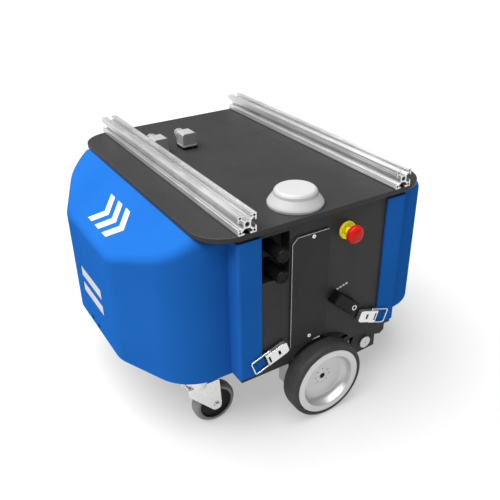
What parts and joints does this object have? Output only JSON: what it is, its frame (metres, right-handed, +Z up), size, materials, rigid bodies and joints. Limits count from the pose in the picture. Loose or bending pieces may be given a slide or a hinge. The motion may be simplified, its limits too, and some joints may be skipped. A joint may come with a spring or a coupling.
{
  "type": "mobile robot base",
  "caption": "Compact differential-drive mobile robot base with moulded covers, slotted payload rails, sprung drive wheels and swivel casters.",
  "frame": {"origin": "on the floor under the middle of the drive axle, at the centre of the base of the bounding box", "axes": "+Z up, the nose faces -Y, the robot's left side is +X, the drive axle lies along X"},
  "size_m": [0.5573, 0.584, 0.4103],
  "materials": {
    "dark_sheet": "satin black powder coat",
    "blue_cover": "satin moulded, blue",
    "rail": "natural anodised",
    "cast_aluminium": "fine cast and machined",
    "zinc": "bright zinc plated",
    "tyre": "matt black rubber",
    "caster_rubber": "matt grey-black rubber",
    "black_plastic": "fine matt",
    "white_plastic": "smooth satin",
    "hood_metal": "grey painted die casting",
    "red_plastic": "smooth",
    "yellow_plastic": "smooth",
    "diffuser": "frosted light grey",
    "circuit_green": "solder mask",
    "battery_case": "matt"
  },
  "bodies": {
    "chassis": {"floor_plate": "dark_sheet", "left_side_panel": "dark_sheet", "right_side_panel": "dark_sheet", "front_bulkhead": "dark_sheet", "rear_bulkhead": "dark_sheet", "deck_plate": "dark_sheet", "front_rail": "rail", "rear_rail": "rail", "front_cover": "blue_cover", "rear_cover": "blue_cover", "upper_light_bar": "diffuser", "lower_light_bar": "diffuser", "nose_sensor_board": "circuit_green", "front_left_latch_base": "zinc", "rear_left_latch_base": "zinc", "front_right_latch_base": "zinc", "rear_right_latch_base": "zinc", "access_panel": "dark_sheet", "upper_capped_connector": "black_plastic", "lower_capped_connector": "black_plastic", "charge_socket": "black_plastic", "estop_bezel": "yellow_plastic", "antenna_dome": "white_plastic", "front_connector_hood": "hood_metal", "front_connector_gland": "zinc", "rear_connector_hood": "hood_metal", "rear_connector_gland": "zinc", "battery_pack": "battery_case", "drive_controller": "cast_aluminium", "left_pivot_pin": "zinc", "right_pivot_pin": "zinc", "left_suspension_spring": "zinc", "right_suspension_spring": "zinc", "left_caster_plate": "zinc", "right_caster_plate": "zinc", "rear_caster_plate": "zinc"},
    "left_arm": {"left_swing_arm": "dark_sheet", "left_gearmotor": "cast_aluminium"},
    "right_arm": {"right_swing_arm": "dark_sheet", "right_gearmotor": "cast_aluminium"},
    "left_wheel": {"left_wheel_rim": "cast_aluminium", "left_wheel_tyre": "tyre"},
    "right_wheel": {"right_wheel_rim": "cast_aluminium", "right_wheel_tyre": "tyre"},
    "left_swivel": {"left_caster_fork": "zinc"},
    "right_swivel": {"right_caster_fork": "zinc"},
    "rear_swivel": {"rear_caster_fork": "zinc"},
    "left_caster": {"left_caster_wheel": "caster_rubber"},
    "right_caster": {"right_caster_wheel": "caster_rubber"},
    "rear_caster": {"rear_caster_wheel": "caster_rubber"},
    "front_left_lever": {"front_left_latch_lever": "zinc"},
    "rear_left_lever": {"rear_left_latch_lever": "zinc"},
    "front_right_lever": {"front_right_latch_lever": "zinc"},
    "rear_right_lever": {"rear_right_latch_lever": "zinc"},
    "front_left_bail": {"front_left_latch_bail": "zinc"},
    "rear_left_bail": {"rear_left_latch_bail": "zinc"},
    "front_right_bail": {"front_right_latch_bail": "zinc"},
    "rear_right_bail": {"rear_right_latch_bail": "zinc"},
    "estop_plunger": {"estop_stem": "black_plastic"},
    "estop_knob": {"estop_head": "red_plastic"}
  },
  "joints": [
    {"name": "left_suspension", "type": "hinge", "parent": "chassis", "child": "left_arm", "pos_m": [0.237, 0.107, 0.085], "axis": [1, 0, 0], "range_deg": [-3, 3], "stiffness_Nm_per_rad": 120, "springref_deg": 5.73, "deforming": ["left_suspension_spring"]},
    {"name": "right_suspension", "type": "hinge", "parent": "chassis", "child": "right_arm", "pos_m": [-0.237, 0.107, 0.085], "axis": [1, 0, 0], "range_deg": [-3, 3], "stiffness_Nm_per_rad": 120, "springref_deg": 5.73, "deforming": ["right_suspension_spring"]},
    {"name": "left_wheel_spin", "type": "hinge", "parent": "left_arm", "child": "left_wheel", "pos_m": [0.26, 0, 0.07], "axis": [1, 0, 0], "continuous": true},
    {"name": "right_wheel_spin", "type": "hinge", "parent": "right_arm", "child": "right_wheel", "pos_m": [-0.26, 0, 0.07], "axis": [1, 0, 0], "continuous": true},
    {"name": "left_caster_turn", "type": "hinge", "parent": "chassis", "child": "left_swivel", "pos_m": [0.18, -0.1965, 0.1], "axis": [0, 0, 1], "continuous": true},
    {"name": "right_caster_turn", "type": "hinge", "parent": "chassis", "child": "right_swivel", "pos_m": [-0.18, -0.1965, 0.1], "axis": [0, 0, 1], "continuous": true},
    {"name": "rear_caster_turn", "type": "hinge", "parent": "chassis", "child": "rear_swivel", "pos_m": [0, 0.2, 0.1], "axis": [0, 0, 1], "continuous": true},
    {"name": "left_caster_roll", "type": "hinge", "parent": "left_swivel", "child": "left_caster", "pos_m": [0.18, -0.1685, 0.0375], "axis": [1, 0, 0], "continuous": true},
    {"name": "right_caster_roll", "type": "hinge", "parent": "right_swivel", "child": "right_caster", "pos_m": [-0.18, -0.1685, 0.0375], "axis": [1, 0, 0], "continuous": true},
    {"name": "rear_caster_roll", "type": "hinge", "parent": "rear_swivel", "child": "rear_caster", "pos_m": [0, 0.228, 0.0375], "axis": [1, 0, 0], "continuous": true},
    {"name": "front_left_latch_open", "type": "hinge", "parent": "chassis", "child": "front_left_lever", "pos_m": [0.2578, -0.10756, 0.15133], "axis": [0, 0.3338, -0.9426], "range_deg": [0, 100]},
    {"name": "rear_left_latch_open", "type": "hinge", "parent": "chassis", "child": "rear_left_lever", "pos_m": [0.2578, 0.10756, 0.15133], "axis": [0, 0.3338, 0.9426], "range_deg": [0, 100]},
    {"name": "front_right_latch_open", "type": "hinge", "parent": "chassis", "child": "front_right_lever", "pos_m": [-0.2578, -0.10756, 0.15133], "axis": [0, -0.3338, 0.9426], "range_deg": [0, 100]},
    {"name": "rear_right_latch_open", "type": "hinge", "parent": "chassis", "child": "rear_right_lever", "pos_m": [-0.2578, 0.10756, 0.15133], "axis": [0, -0.3338, -0.9426], "range_deg": [0, 100]},
    {"name": "front_left_bail_swing", "type": "hinge", "parent": "front_left_lever", "child": "front_left_bail", "pos_m": [0.2578, -0.10002, 0.154], "axis": [0, 0.3338, -0.9426], "range_deg": [-126, 0]},
    {"name": "rear_left_bail_swing", "type": "hinge", "parent": "rear_left_lever", "child": "rear_left_bail", "pos_m": [0.2578, 0.10002, 0.154], "axis": [0, 0.3338, 0.9426], "range_deg": [-126, 0]},
    {"name": "front_right_bail_swing", "type": "hinge", "parent": "front_right_lever", "child": "front_right_bail", "pos_m": [-0.2578, -0.10002, 0.154], "axis": [0, -0.3338, 0.9426], "range_deg": [-126, 0]},
    {"name": "rear_right_bail_swing", "type": "hinge", "parent": "rear_right_lever", "child": "rear_right_bail", "pos_m": [-0.2578, 0.10002, 0.154], "axis": [0, -0.3338, -0.9426], "range_deg": [-126, 0]},
    {"name": "estop_press", "type": "slide", "parent": "chassis", "child": "estop_plunger", "axis": [-1, 0, 0], "range_m": [0, 0.004]},
    {"name": "estop_twist", "type": "hinge", "parent": "estop_plunger", "child": "estop_knob", "pos_m": [0.2658, 0.039, 0.3335], "axis": [1, 0, 0], "range_deg": [0, 35], "stiffness_Nm_per_rad": 0.1}
  ],
  "couplings": [
    {"joint": "front_left_bail_swing", "follows": "front_left_latch_open", "ratio": -1.25},
    {"joint": "rear_left_bail_swing", "follows": "rear_left_latch_open", "ratio": -1.25},
    {"joint": "front_right_bail_swing", "follows": "front_right_latch_open", "ratio": -1.25},
    {"joint": "rear_right_bail_swing", "follows": "rear_right_latch_open", "ratio": -1.25}
  ]
}
